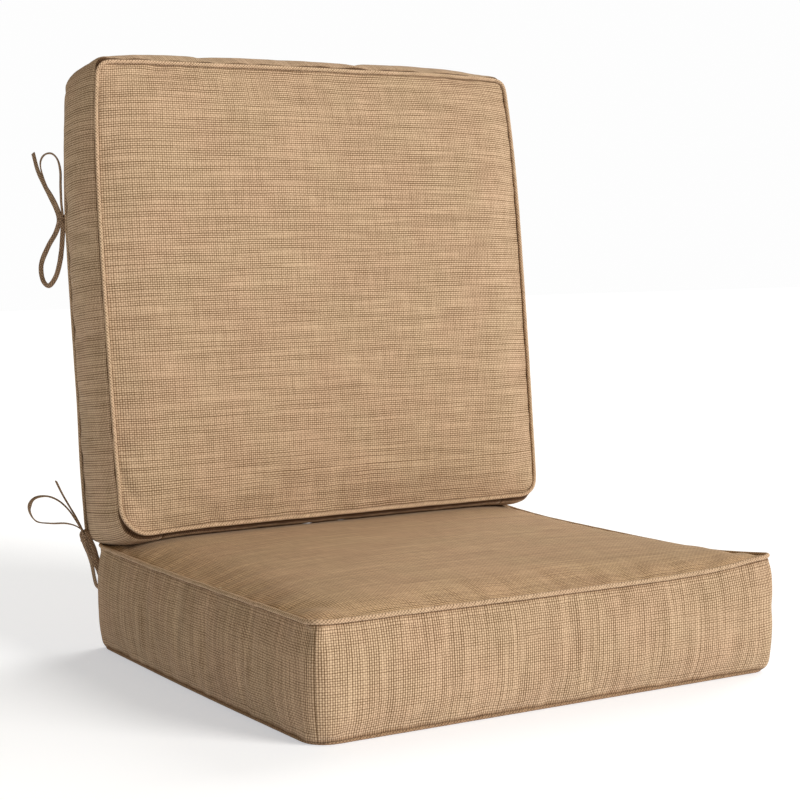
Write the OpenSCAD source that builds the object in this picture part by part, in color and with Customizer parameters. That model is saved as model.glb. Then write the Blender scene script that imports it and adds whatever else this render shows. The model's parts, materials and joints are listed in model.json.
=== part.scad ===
// Two-piece deep-seat chair cushion: a boxed and welted seat pad with a loose back cushion on it.
// Millimetres, +Z up. The origin is the middle of the seat cushion's underside. The front faces -Y.

/* [Seat cushion] */
// Width between the side welts
seat_w = 610; // [560:5:640]
// Depth between the front and rear welts
seat_d = 580; // [560:5:620]
// Height between the bottom and top welts
seat_h = 126; // [110:1:130]
// Rise of the top above its welt, at the middle
seat_crown = 16; // [8:1:16]

/* [Back cushion] */
// Width between the side welts
back_w = 614; // [570:2:640]
// Height between the bottom and top welts
back_h = 594; // [520:2:640]
// Thickness between the front and rear welts
back_t = 118; // [90:1:124]
// Bulge of the front face beyond its welt, at the middle
back_crown = 20; // [8:1:24]
// Lean backwards from upright, in degrees
back_lean = 6.2; // [4:0.1:7]
// Distance of the lower front welt behind the middle of the seat
back_set = 192; // [188:1:196]
// Height of the lower front welt above the floor
back_foot = 147; // [147:1:150]

/* [Cover] */
// Thickness of the woven cloth
cloth = 1.5; // [1:0.1:1.6]
// Radius of the welts round a corner, seen square on
corner_r = 17; // [16:1:24]
// Diameter of the welt
welt_d = 6; // [5:0.5:6]
// Diameter of the cord in the welt
welt_cord_d = 4; // [3:0.5:4]
// Thickness of the fibre wrap round the foam
wrap_t = 12; // [8:1:16]

/* [Zips] */
// Length of zip tape
zip_len = 490; // [400:10:500]
// Width of each half of the tape
tape_w = 19; // [14:1:20]
// Diameter of each half of the coil
coil_d = 2.2; // [2:0.1:2.2]
// Length of the pull tab
pull_len = 24; // [16:1:24]
// Height of the back cushion's zip above its bottom welt
back_zip_rise = 60; // [50:1:80]

/* [Ties] */
// Diameter of the rolled tie, before it is pressed flat
tie_d = 5; // [4:0.5:5]

/* [Hidden] */

$fn = 48;
eps = 0.01;

// Colours
cloth_colour = [0.74, 0.62, 0.49];
panel_colour = [0.67, 0.54, 0.41];
welt_colour = [0.70, 0.57, 0.43];
foam_colour = [0.93, 0.89, 0.74];
fibre_colour = [0.96, 0.96, 0.94];
tape_colour = [0.66, 0.55, 0.42];
coil_colour = [0.55, 0.44, 0.32];
metal_colour = [0.62, 0.60, 0.55];

// Cover: each cushion is drawn with its flat face on z = 0 and its crowned face up
welt_r = welt_d / 2;
cord_r = welt_cord_d / 2 - 0.05;
flange_t = 1.2;                          // the welt's two cloth layers inside the seam
flange_w = 5;
flat_seam_z = 4.5;                       // welt centre above the flat face
box_r = corner_r - welt_r;               // corner radius of the boxing's outer face
dish_w = 10;                             // the flat panel turns up to its seam over this width
fibre_gap = 5.5;                         // cover face to fibre, with room for the zip slider's inner plate
foam_gap = 3;
crown_power = 2.4;
crown_rings = 8;
corner_steps = 6;
join_in = 55;                            // the boxing's joins are this far in from the side welts

// Zip, drawn along X, with its cloth's outer face on z = 0
zip_slot = 5.2;                          // half the opening between the cloth edges
tape_t = 1;
tape_gap = 0.8;                          // half the gap between the two tapes
coil_y = tape_gap + coil_d / 2;
coil_z = coil_d / 2 - cloth;
stop_l = 4;
coil_len = zip_len - 20;
slider_l = 12;
slider_w = 10.2;
slider_low = -cloth - tape_t - 0.4;      // top of the inner plate
slider_high = coil_d - cloth + 0.3;      // underside of the outer plate
plate_t = 1.2;
pull_bar_z = slider_high + plate_t + 1.9;
pull_bar_r = 0.8;
pull_eye_r = 1.7;
pull_play = 0.05;
zip_closed_x = zip_len / 2 - pull_len - 8;
seat_zip_z = flat_seam_z + seat_h / 2;
back_zip_y = -back_h / 2 + back_zip_rise;

// Ties: each route starts at its seam, goes once through the knot, round its loop,
// back through the knot and out to its free end. Points are measured from the knot.
upper_knot = [-310, 366, 544];
upper_a = [[-1, -7, 2], [0, -4, 8], [0, -1, 20], [0, 0, 41], [1, 2, 61], [0, 9, 76], [-3, 22, 84],
           [-9, 34, 82], [-12, 39, 70], [-9, 31, 47], [-3, 15, 24], [0, 5, 5], [6, 4, -10],
           [15, 7, -28], [23, 12, -54], [29, 15, -88]];
upper_b = [[-1, -7, -5], [0, -5, -11], [0, -2, -23], [-1, 0, -40], [-2, 6, -58], [-4, 16, -75],
           [-9, 28, -86], [-13, 39, -78], [-15, 37, -58], [-9, 26, -35], [-2, 14, -16], [0, 9, 2],
           [-5, 20, 25], [-10, 34, 46], [-13, 47, 64], [-14, 59, 86]];
lower_knot = [-315, 298, 141];
lower_a = [[16, -12, -47], [12, -7, -39], [8, -6, -24], [3, -6, -9], [-1, -3, 4], [-8, 7, 13],
           [-17, 23, 16], [-31, 41, 15], [-46, 53, 18], [-53, 57, 33], [-49, 50, 47], [-37, 37, 51],
           [-26, 24, 46], [-16, 14, 34], [-7, 6, 16], [1, 4, 0], [7, 5, -15], [15, 9, -33],
           [24, 12, -59]];
lower_b = [[16, -12, -37], [12, -8, -28], [8, -9, -15], [3, -9, -3], [1, -7, 6], [-2, -3, 10],
           [-4, 2, 3], [1, 6, -11], [7, 8, -25], [11, 8, -39], [14, 9, -55], [18, 11, -67],
           [25, 14, -72], [31, 17, -65], [30, 18, -49], [21, 13, -31], [7, 4, -14], [-1, -1, 1],
           [-8, -3, 16], [-13, 2, 29], [-16, 15, 41], [-20, 27, 55], [-23, 38, 69]];

// ---------------------------------------------------------------- shared shapes

module round_rect(w, d, r) {
    square([w - 2 * r, d], center = true);
    square([w, d - 2 * r], center = true);
    for (x = [-1, 1], y = [-1, 1]) translate([x * (w / 2 - r), y * (d / 2 - r)]) circle(r);
}

// Runs a profile round a rounded rectangle. The profile's X is outwards from the outline, its Y is up.
module run_round(w, d, r) {
    for (turn = [0:3]) {
        across = turn % 2 == 0 ? w : d;
        along = turn % 2 == 0 ? d : w;
        rotate(90 * turn) {
            rotate([90, 0, 0]) linear_extrude(along - 2 * r, center = true)
                translate([across / 2, 0]) children();
            translate([across / 2 - r, along / 2 - r, 0])
                rotate_extrude(angle = 90) translate([r, 0]) children();
        }
    }
}

// One point of a rounded rectangle's outline, shrunk to a share of its size
function outline_point(k, w, d, r, share) =
    let (corner = floor(k / (corner_steps + 1)),
         angle = 90 * corner + 90 * (k % (corner_steps + 1)) / corner_steps,
         sx = corner == 0 || corner == 3 ? 1 : -1,
         sy = corner < 2 ? 1 : -1)
    share * [sx * (w / 2 - r) + r * cos(angle), sy * (d / 2 - r) + r * sin(angle)];

function crown_height(share) = 1 - pow(share, crown_power);

// A pad whose two faces both rise to the middle: low and high are the heights at the edge
module crowned(w, d, r, low, low_crown, high, high_crown) {
    count = 4 * (corner_steps + 1);
    shares = [for (i = [1:crown_rings]) pow(i / crown_rings, 0.75)];
    function face_points(base, crown) = [
        for (share = shares, k = [0:count - 1])
            let (p = outline_point(k, w, d, r, share)) [p[0], p[1], base + crown * crown_height(share)]];
    top = face_points(high, high_crown);
    bottom = face_points(low, low_crown);
    size = len(top);
    points = concat(top, bottom, [[0, 0, high + high_crown], [0, 0, low + low_crown]]);
    rim = (crown_rings - 1) * count;
    faces = concat(
        [for (k = [0:count - 1]) [2 * size, (k + 1) % count, k]],
        [for (k = [0:count - 1]) [2 * size + 1, size + k, size + (k + 1) % count]],
        [for (i = [0:crown_rings - 2], k = [0:count - 1])
            [i * count + k, i * count + (k + 1) % count,
             (i + 1) * count + (k + 1) % count, (i + 1) * count + k]],
        [for (i = [0:crown_rings - 2], k = [0:count - 1])
            [size + i * count + k, size + (i + 1) * count + k,
             size + (i + 1) * count + (k + 1) % count, size + i * count + (k + 1) % count]],
        [for (k = [0:count - 1])
            [rim + k, rim + (k + 1) % count, size + rim + (k + 1) % count, size + rim + k]]);
    polyhedron(points, faces, convexity = 4);
}

// ---------------------------------------------------------------- pieces that both cushions have

module foam_core(w, d, h) {
    color(foam_colour) translate([0, 0, fibre_gap + wrap_t]) linear_extrude(h - wrap_t - foam_gap)
        round_rect(w - welt_d - 2 * fibre_gap, d - welt_d - 2 * (fibre_gap + wrap_t), box_r);
}

// One sheet wrapped round the foam, open at the two sides
module fibre_wrap(w, d, h, crown) {
    high = flat_seam_z + h;
    color(fibre_colour) difference() {
        crowned(w - welt_d - 2 * fibre_gap, d - welt_d - 2 * fibre_gap, box_r, fibre_gap, 0, high, crown);
        translate([-w / 2, -(d - welt_d) / 2 + fibre_gap + wrap_t, fibre_gap + wrap_t])
            cube([w, d - welt_d - 2 * (fibre_gap + wrap_t), h - wrap_t - foam_gap]);
    }
}

module crowned_panel(w, d, h, crown) {
    edge = flat_seam_z + h + flange_t / 2;
    color(panel_colour)
        crowned(w - welt_d, d - welt_d, box_r, edge, crown, edge + cloth, crown);
}

// Flat in the middle, turned up at its edge to meet the welt
module flat_panel(w, d) {
    edge = flat_seam_z - flange_t / 2;
    color(panel_colour) {
        linear_extrude(cloth)
            round_rect(w - welt_d - 2 * dish_w + eps, d - welt_d - 2 * dish_w + eps, box_r - dish_w);
        run_round(w - welt_d, d - welt_d, box_r)
            polygon([[-dish_w, 0], [0, edge - cloth], [0, edge], [-dish_w, cloth]]);
    }
}

// Boxing round three sides and both corners of the fourth, where other pieces close the gap
module main_boxing(w, d, h) {
    color(cloth_colour) translate([0, 0, flat_seam_z + flange_t / 2]) linear_extrude(h - flange_t)
        difference() {
            round_rect(w - welt_d, d - welt_d, box_r);
            round_rect(w - welt_d - 2 * cloth, d - welt_d - 2 * cloth, box_r - cloth);
            translate([-w / 2 + join_in, 0]) square([w - 2 * join_in, d]);
        }
}

// Part of the gap in the boxing, from one height to another
module boxing_strip(w, d, low, high) {
    color(cloth_colour) translate([-w / 2 + join_in, (d - welt_d) / 2 - cloth, low])
        cube([w - 2 * join_in, cloth, high - low]);
}

module welt_cover(w, d, seam_z) {
    color(welt_colour) translate([0, 0, seam_z]) run_round(w - welt_d, d - welt_d, box_r)
        difference() {
            union() {
                translate([welt_r, 0]) circle(welt_r);
                translate([-flange_w, -flange_t / 2]) square([flange_w + welt_r / 2, flange_t]);
            }
            translate([welt_r, 0]) circle(welt_cord_d / 2);
        }
}

module welt_cord(w, d, seam_z) {
    color(fibre_colour) translate([0, 0, seam_z]) run_round(w - welt_d, d - welt_d, box_r)
        translate([welt_r, 0]) circle(cord_r);
}

// ---------------------------------------------------------------- zip pieces

// side is 1 for one half and -1 for the other
module zip_tape(side) {
    color(tape_colour) translate([-zip_len / 2, side > 0 ? tape_gap : -tape_gap - tape_w, -cloth - tape_t])
        cube([zip_len, tape_w, tape_t]);
}

module zip_coil(side) {
    color(coil_colour) translate([-coil_len / 2, side * coil_y, coil_z])
        rotate([0, 90, 0]) cylinder(h = coil_len, d = coil_d);
}

module zip_stops() {
    color(metal_colour) for (end = [-1, 1])
        translate([end * (coil_len / 2 + 0.5 + stop_l / 2) - stop_l / 2, -4, -cloth])
            cube([stop_l, 8, coil_d]);
}

// Two plates joined by a web that runs between the halves, with lugs and a bar for the pull
module zip_slider() {
    top = slider_high + plate_t;
    color(metal_colour) translate([zip_closed_x, 0, 0]) {
        translate([-slider_l / 2, -slider_w / 2, slider_high]) cube([slider_l, slider_w, plate_t]);
        translate([-slider_l / 2, -slider_w / 2, slider_low - plate_t]) cube([slider_l, slider_w, plate_t]);
        translate([slider_l / 2 - 4, -0.4, slider_low - eps]) cube([4, 0.8, slider_high - slider_low + 2 * eps]);
        for (side = [-1, 1]) {
            translate([-slider_l / 2, side * 4.1 - 0.6, 0.4 - cloth]) cube([slider_l, 1.2, slider_high + cloth]);
            translate([-1.6, side * 2.6 - 0.5, top - eps]) cube([3.2, 1, pull_bar_z + 1.4 - top]);
        }
        translate([0, 0, pull_bar_z]) rotate([90, 0, 0]) cylinder(h = 5, r = pull_bar_r, center = true);
    }
}

module zip_pull() {
    color(metal_colour) translate([zip_closed_x, 0, pull_bar_z]) difference() {
        union() {
            rotate([90, 0, 0]) cylinder(h = 3.8, r = pull_eye_r, center = true);
            translate([0, -1.9, -0.6]) cube([6, 3.8, 1.2]);
            translate([4, -3.5, -0.6]) cube([pull_len - 4 - 3.5, 7, 1.2]);
            translate([pull_len - 3.5, 0, -0.6]) cylinder(h = 1.2, r = 3.5);
        }
        rotate([90, 0, 0]) cylinder(h = 10, r = pull_bar_r + pull_play, center = true);
        translate([pull_len - 5, 0, -1]) cylinder(h = 2, r = 1.2);
    }
}

// ---------------------------------------------------------------- ties

function unit(v) = v / norm(v);
function tangent(route, i) = unit(route[min(i + 1, len(route) - 1)] - route[max(i - 1, 0)]);
function square_to(v, along) = unit(v - (v * along) * along);

// One direction square to the route at each of its points, carried along from the first without twisting
function carried(route, start) = [
    for (i = 0, side = square_to(start, tangent(route, 0));
         i < len(route);
         i = i + 1, side = square_to(side, tangent(route, min(i, len(route) - 1))))
        side];

// A tube along a route of points
module tie(route) {
    sides = 8;
    last = len(route) - 1;
    across = carried(route, [0.3, 0.5, 0.8]);
    points = [
        for (i = [0:last], k = [0:sides - 1])
            let (v = cross(tangent(route, i), across[i]), turn = 360 * k / sides)
                route[i] + tie_d / 2 * (cos(turn) * across[i] + sin(turn) * v)];
    faces = concat(
        [[for (k = [0:sides - 1]) k]],
        [for (i = [0:last - 1], k = [0:sides - 1])
            [i * sides + k, (i + 1) * sides + k,
             (i + 1) * sides + (k + 1) % sides, i * sides + (k + 1) % sides]],
        [[for (k = [sides - 1:-1:0]) last * sides + k]]);
    color(welt_colour) polyhedron(points, faces);
}

function from_knot(route, knot) = [for (p = route) knot + p];

module upper_tie(route) tie(from_knot(route, upper_knot));
module lower_tie(route) tie(from_knot(route, lower_knot));
module to_right() mirror([1, 0, 0]) children();

// ---------------------------------------------------------------- where things stand

module on_seat_zip() translate([0, (seat_d - welt_d) / 2, seat_zip_z]) rotate([-90, 0, 0]) children();

module on_back() translate([0, back_set, back_foot]) rotate([90 - back_lean, 0, 0])
    translate([0, back_h / 2, -flat_seam_z - back_t]) children();

// The gap in the back cushion's boxing is at its foot
module on_back_turned() on_back() rotate(180) children();
module on_back_zip() on_back() translate([0, back_zip_y, 0]) rotate([180, 0, 0]) children();

// ---------------------------------------------------------------- seat cushion

seat_top_z = flat_seam_z + seat_h;
seat_low = flat_seam_z + flange_t / 2;
seat_high = seat_top_z - flange_t / 2;

module seat_foam_core() foam_core(seat_w, seat_d, seat_h);
module seat_fibre_wrap() fibre_wrap(seat_w, seat_d, seat_h, seat_crown);
module seat_top_panel() crowned_panel(seat_w, seat_d, seat_h, seat_crown);
module seat_bottom_panel() flat_panel(seat_w, seat_d);
module seat_main_boxing() main_boxing(seat_w, seat_d, seat_h);
module seat_zip_boxing_upper() boxing_strip(seat_w, seat_d, seat_zip_z + zip_slot, seat_high);
module seat_zip_boxing_lower() boxing_strip(seat_w, seat_d, seat_low, seat_zip_z - zip_slot);
module seat_top_welt_cover() welt_cover(seat_w, seat_d, seat_top_z);
module seat_top_welt_cord() welt_cord(seat_w, seat_d, seat_top_z);
module seat_bottom_welt_cover() welt_cover(seat_w, seat_d, flat_seam_z);
module seat_bottom_welt_cord() welt_cord(seat_w, seat_d, flat_seam_z);
module seat_zip_tape_upper() on_seat_zip() zip_tape(-1);
module seat_zip_tape_lower() on_seat_zip() zip_tape(1);
module seat_zip_coil_upper() on_seat_zip() zip_coil(-1);
module seat_zip_coil_lower() on_seat_zip() zip_coil(1);
module seat_zip_stops() on_seat_zip() zip_stops();
module seat_zip_slider() on_seat_zip() zip_slider();
module seat_zip_pull() on_seat_zip() zip_pull();

// ---------------------------------------------------------------- back cushion

// The rear face is cut across along its zip
module rear_panel_piece(side) {
    color(panel_colour) on_back() difference() {
        flat_panel(back_w, back_h);
        translate([-back_w / 2, side > 0 ? back_zip_y - back_h : back_zip_y, -1]) cube([back_w, back_h, 10]);
        translate([-back_w / 2 + join_in, back_zip_y - zip_slot, -1])
            cube([back_w - 2 * join_in, 2 * zip_slot, 10]);
    }
}

module back_foam_core() on_back() foam_core(back_w, back_h, back_t);
module back_fibre_wrap() on_back() fibre_wrap(back_w, back_h, back_t, back_crown);
module back_front_panel() on_back() crowned_panel(back_w, back_h, back_t, back_crown);
module back_rear_upper_panel() rear_panel_piece(1);
module back_rear_lower_panel() rear_panel_piece(-1);
module back_main_boxing() on_back_turned() main_boxing(back_w, back_h, back_t);
module back_bottom_boxing() on_back_turned()
    boxing_strip(back_w, back_h, flat_seam_z + flange_t / 2, flat_seam_z + back_t - flange_t / 2);
module back_front_welt_cover() on_back() welt_cover(back_w, back_h, flat_seam_z + back_t);
module back_front_welt_cord() on_back() welt_cord(back_w, back_h, flat_seam_z + back_t);
module back_rear_welt_cover() on_back() welt_cover(back_w, back_h, flat_seam_z);
module back_rear_welt_cord() on_back() welt_cord(back_w, back_h, flat_seam_z);
module back_zip_tape_upper() on_back_zip() zip_tape(-1);
module back_zip_tape_lower() on_back_zip() zip_tape(1);
module back_zip_coil_upper() on_back_zip() zip_coil(-1);
module back_zip_coil_lower() on_back_zip() zip_coil(1);
module back_zip_stops() on_back_zip() zip_stops();
module back_zip_slider() on_back_zip() zip_slider();
module back_zip_pull() on_back_zip() zip_pull();

// ---------------------------------------------------------------- ties

module upper_left_tie_a() upper_tie(upper_a);
module upper_left_tie_b() upper_tie(upper_b);
module upper_right_tie_a() to_right() upper_tie(upper_a);
module upper_right_tie_b() to_right() upper_tie(upper_b);
module lower_left_tie_a() lower_tie(lower_a);
module lower_left_tie_b() lower_tie(lower_b);
module lower_right_tie_a() to_right() lower_tie(lower_a);
module lower_right_tie_b() to_right() lower_tie(lower_b);

// ---------------------------------------------------------------- output

seat_foam_core();
seat_fibre_wrap();
seat_top_panel();
seat_bottom_panel();
seat_main_boxing();
seat_zip_boxing_upper();
seat_zip_boxing_lower();
seat_top_welt_cover();
seat_top_welt_cord();
seat_bottom_welt_cover();
seat_bottom_welt_cord();
seat_zip_tape_upper();
seat_zip_tape_lower();
seat_zip_coil_upper();
seat_zip_coil_lower();
seat_zip_stops();
seat_zip_slider();
seat_zip_pull();
back_foam_core();
back_fibre_wrap();
back_front_panel();
back_rear_upper_panel();
back_rear_lower_panel();
back_main_boxing();
back_bottom_boxing();
back_front_welt_cover();
back_front_welt_cord();
back_rear_welt_cover();
back_rear_welt_cord();
back_zip_tape_upper();
back_zip_tape_lower();
back_zip_coil_upper();
back_zip_coil_lower();
back_zip_stops();
back_zip_slider();
back_zip_pull();
upper_left_tie_a();
upper_left_tie_b();
upper_right_tie_a();
upper_right_tie_b();
lower_left_tie_a();
lower_left_tie_b();
lower_right_tie_a();
lower_right_tie_b();
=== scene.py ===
import json
import math

import bmesh
import bpy
import numpy as np
from mathutils import Matrix, Vector, noise


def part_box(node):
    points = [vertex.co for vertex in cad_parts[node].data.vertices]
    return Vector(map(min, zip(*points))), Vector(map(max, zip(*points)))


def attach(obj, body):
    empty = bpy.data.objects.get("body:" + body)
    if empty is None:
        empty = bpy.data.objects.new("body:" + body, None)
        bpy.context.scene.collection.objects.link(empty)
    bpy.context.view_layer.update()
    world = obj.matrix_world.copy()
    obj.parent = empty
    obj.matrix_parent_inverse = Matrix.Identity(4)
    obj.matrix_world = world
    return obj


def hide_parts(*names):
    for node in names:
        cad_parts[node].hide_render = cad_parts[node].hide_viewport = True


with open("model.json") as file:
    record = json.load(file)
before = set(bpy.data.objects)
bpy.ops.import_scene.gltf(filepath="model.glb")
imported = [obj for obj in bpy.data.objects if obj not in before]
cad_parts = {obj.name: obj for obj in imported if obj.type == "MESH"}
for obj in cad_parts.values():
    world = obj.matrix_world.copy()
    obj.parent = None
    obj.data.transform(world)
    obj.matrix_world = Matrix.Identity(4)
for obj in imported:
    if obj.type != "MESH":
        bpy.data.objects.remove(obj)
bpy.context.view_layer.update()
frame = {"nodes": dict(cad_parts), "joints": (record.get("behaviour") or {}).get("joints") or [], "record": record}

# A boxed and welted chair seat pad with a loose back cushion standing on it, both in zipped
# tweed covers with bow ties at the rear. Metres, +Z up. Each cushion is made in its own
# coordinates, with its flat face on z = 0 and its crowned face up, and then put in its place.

MM = 0.001

# ---------------- sizes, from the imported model


def record_row(rows, name):
    return next(row for row in rows if row["name"] == name)


def back_place():
    """The back cushion's own coordinates: X across, Y up the cushion, Z towards its front."""
    up = Vector(record_row(frame["joints"], "back_zip_pull_swing")["axis"])
    rear = record_row(frame["record"]["mounts"], "back_rear_face")
    out = Vector(rear["axis"])
    turn = Matrix((Vector((1, 0, 0)), up, -out)).transposed().to_4x4()
    place = Matrix.Translation(Vector(rear["pos_m"])) @ turn
    low, high = extents("back_main_boxing", place)
    return place @ Matrix.Translation((0, (low[1] + high[1]) / 2, 0))


def extents(node, place):
    """Lowest and highest corner of a CAD node in a cushion's own coordinates."""
    inside = place.inverted()
    points = np.array([inside @ v.co for v in frame["nodes"][node].data.vertices])
    return points.min(0), points.max(0)


class Cushion:
    """The sizes of one cushion, read from its CAD nodes."""

    def __init__(self, name, place, flat_welt, crowned_welt, crowned_panel):
        self.name = name
        self.place = place
        low, high = extents(name + "_main_boxing", place)
        self.half_w, self.half_d = (high[0] - low[0]) / 2, (high[1] - low[1]) / 2
        self.low_seam = sum(e[2] for e in extents(flat_welt, place)) / 2
        self.high_seam = sum(e[2] for e in extents(crowned_welt, place)) / 2
        self.crown = extents(crowned_panel, place)[1][2] - self.high_seam
        tape_low, tape_high = extents(name + "_zip_tape_upper", place)
        self.zip_half = (tape_high[0] - tape_low[0]) / 2


seat = Cushion("seat", Matrix.Identity(4), "seat_bottom_welt_cord", "seat_top_welt_cord", "seat_top_panel")
back = Cushion("back", back_place(), "back_rear_welt_cord", "back_front_welt_cord", "back_front_panel")

CLOTH = 1.5 * MM
WELT_R = 2.6 * MM
SLOT = 5.2 * MM                                   # half the opening beside each zip
JOIN_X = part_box("seat_zip_boxing_upper")[1].x     # where the boxing pieces are joined
BACK_JOIN_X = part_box("back_bottom_boxing")[1].x
zip_low, zip_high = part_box("seat_zip_tape_upper")[0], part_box("seat_zip_tape_lower")[1]
SEAT_ZIP_Z = (zip_low.z + zip_high.z) / 2
BACK_ZIP_Y = sum(
    extents(n, back.place)[k][1] for n, k in (("back_zip_tape_upper", 0), ("back_zip_tape_lower", 1))
) / 2
# each zip's own coordinates: X along it, Y across it and Z out of the cloth
SEAT_ZIP = Matrix.Translation((0, seat.half_d, SEAT_ZIP_Z)) @ Matrix.Rotation(-math.pi / 2, 4, "X")
BACK_ZIP = back.place @ Matrix.Translation((0, BACK_ZIP_Y, 0)) @ Matrix.Rotation(math.pi, 4, "X")

# ---------------- camera

VIEW_AZIMUTH = math.radians(-31.07)
VIEW_ELEVATION = math.radians(4.9)
VIEW_ROLL = math.radians(-0.64)

camera = bpy.data.objects.new("camera", bpy.data.cameras.new("camera"))
bpy.context.scene.collection.objects.link(camera)
bpy.context.scene.camera = camera
camera.data.lens = 83.33
camera.data.sensor_width = 36
camera.data.clip_end = 50
camera.matrix_world = (
    Matrix.Translation((-1.1725, -1.9023, 0.5105))
    @ Matrix.Rotation(VIEW_AZIMUTH, 4, "Z")
    @ Matrix.Rotation(math.pi / 2 - VIEW_ELEVATION, 4, "X")
    @ Matrix.Rotation(VIEW_ROLL, 4, "Z")
)

# ---------------- mesh helpers


def add_object(name, points, faces, uvs=None, material=None):
    """A smooth-shaded mesh object. uvs holds one pair for each face corner, in face order."""
    mesh = bpy.data.meshes.new(name)
    mesh.from_pydata([tuple(p) for p in points], [], [tuple(int(i) for i in f) for f in faces])
    if uvs is not None:
        layer = mesh.uv_layers.new(name="cloth")
        layer.data.foreach_set("uv", np.asarray(uvs, np.float32).ravel())
    mesh.polygons.foreach_set("use_smooth", [True] * len(mesh.polygons))
    if material:
        mesh.materials.append(material)
    obj = bpy.data.objects.new(name, mesh)
    bpy.context.scene.collection.objects.link(obj)
    return obj


def read(items, key, width=1, kind=float):
    """One value or row for each item, as an array."""
    data = np.zeros(len(items) * width, kind)
    items.foreach_get(key, data)
    return data.reshape(-1, width) if width > 1 else data


def points_of(obj):
    return read(obj.data.vertices, "co", 3)


def set_points(obj, points):
    obj.data.vertices.foreach_set("co", np.asarray(points, float).ravel())
    obj.data.update()


def apply_modifiers(obj):
    """Turns what the object's modifiers show into its mesh."""
    shown = obj.evaluated_get(bpy.context.evaluated_depsgraph_get())
    mesh = bpy.data.meshes.new_from_object(shown)
    old = obj.data
    obj.modifiers.clear()
    obj.data = mesh
    bpy.data.meshes.remove(old)
    mesh.name = obj.name


def mark(obj, values):
    """Stores how far each vertex is from a seam, which the cloth material uses to paint shade near the seams."""
    near = obj.data.attributes.new("seam_gap", "FLOAT", "POINT")
    near.data.foreach_set("value", values)


def unit(v):
    return v / np.maximum(np.linalg.norm(v, axis=-1, keepdims=True), 1e-12)


def smooth_route(points, spacing):
    """Points a given spacing apart on a smooth curve through the given ones (Catmull-Rom)."""
    p = np.array(points, float)
    p = np.vstack([2 * p[0] - p[1], p, 2 * p[-1] - p[-2]])
    fine = []
    for a, b, c, d in zip(p, p[1:], p[2:], p[3:]):
        for t in np.linspace(0, 1, 24, endpoint=False):
            fine.append(0.5 * (2 * b + (c - a) * t + (2 * a - 5 * b + 4 * c - d) * t**2
                               + (3 * b - a - 3 * c + d) * t**3))
    fine = np.array(fine + [p[-2]])
    along = np.concatenate([[0], np.cumsum(np.linalg.norm(np.diff(fine, axis=0), axis=1))])
    at = np.linspace(0, along[-1], max(3, round(along[-1] / spacing) + 1))
    return np.stack([np.interp(at, along, fine[:, k]) for k in range(3)], axis=1)


def tangents(line, closed=False):
    if closed:
        return unit(np.roll(line, -1, axis=0) - np.roll(line, 1, axis=0))
    return unit(np.gradient(line, axis=0))


def sweep(name, line, sides, profile, closed=False, material=None, scale=None):
    """Runs a closed profile of (across, out) pairs along a line. sides are the across directions."""
    along = tangents(line, closed)
    across = unit(sides - along * (sides * along).sum(1, keepdims=True))
    out = np.cross(along, across)
    size = np.ones(len(line)) if scale is None else scale
    rings = np.array([line + (a * across + b * out) * size[:, None] for a, b in profile])
    count, length = len(profile), len(line)
    points = rings.transpose(1, 0, 2).reshape(-1, 3)
    step = np.linalg.norm(np.diff(line, axis=0, append=line[:1]), axis=1)
    u = np.concatenate([[0], np.cumsum(step)])
    edge = np.linalg.norm(np.diff(np.array(profile), axis=0, append=[profile[0]]), axis=1)
    v = np.concatenate([[0], np.cumsum(edge)])
    faces, uvs = [], []
    for i in range(length if closed else length - 1):
        j = (i + 1) % length
        for k in range(count):
            m = (k + 1) % count
            faces.append((i * count + k, i * count + m, j * count + m, j * count + k))
            uvs += [(u[i], v[k]), (u[i], v[k + 1]), (u[i + 1], v[k + 1]), (u[i + 1], v[k])]
    if not closed:
        faces.append(tuple(range(count - 1, -1, -1)))
        faces.append(tuple((length - 1) * count + k for k in range(count)))
        uvs += [(0, 0)] * (2 * count)
    return add_object(name, points, faces, uvs, material)


def circle_profile(radius, sides):
    turns = [math.tau * k / sides for k in range(sides)]
    return [(radius * math.cos(t), radius * math.sin(t)) for t in turns]


def strap_profile(width, thick):
    """A flat section with rounded edges."""
    w, t = width / 2, thick / 2
    upper = [(w, 0), (w - 0.3 * t, t * 0.7), (w - t, t), (0, t * 1.06), (t - w, t), (0.3 * t - w, t * 0.7)]
    return upper + [(-a, -b) for a, b in upper]


# ---------------- materials


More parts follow.
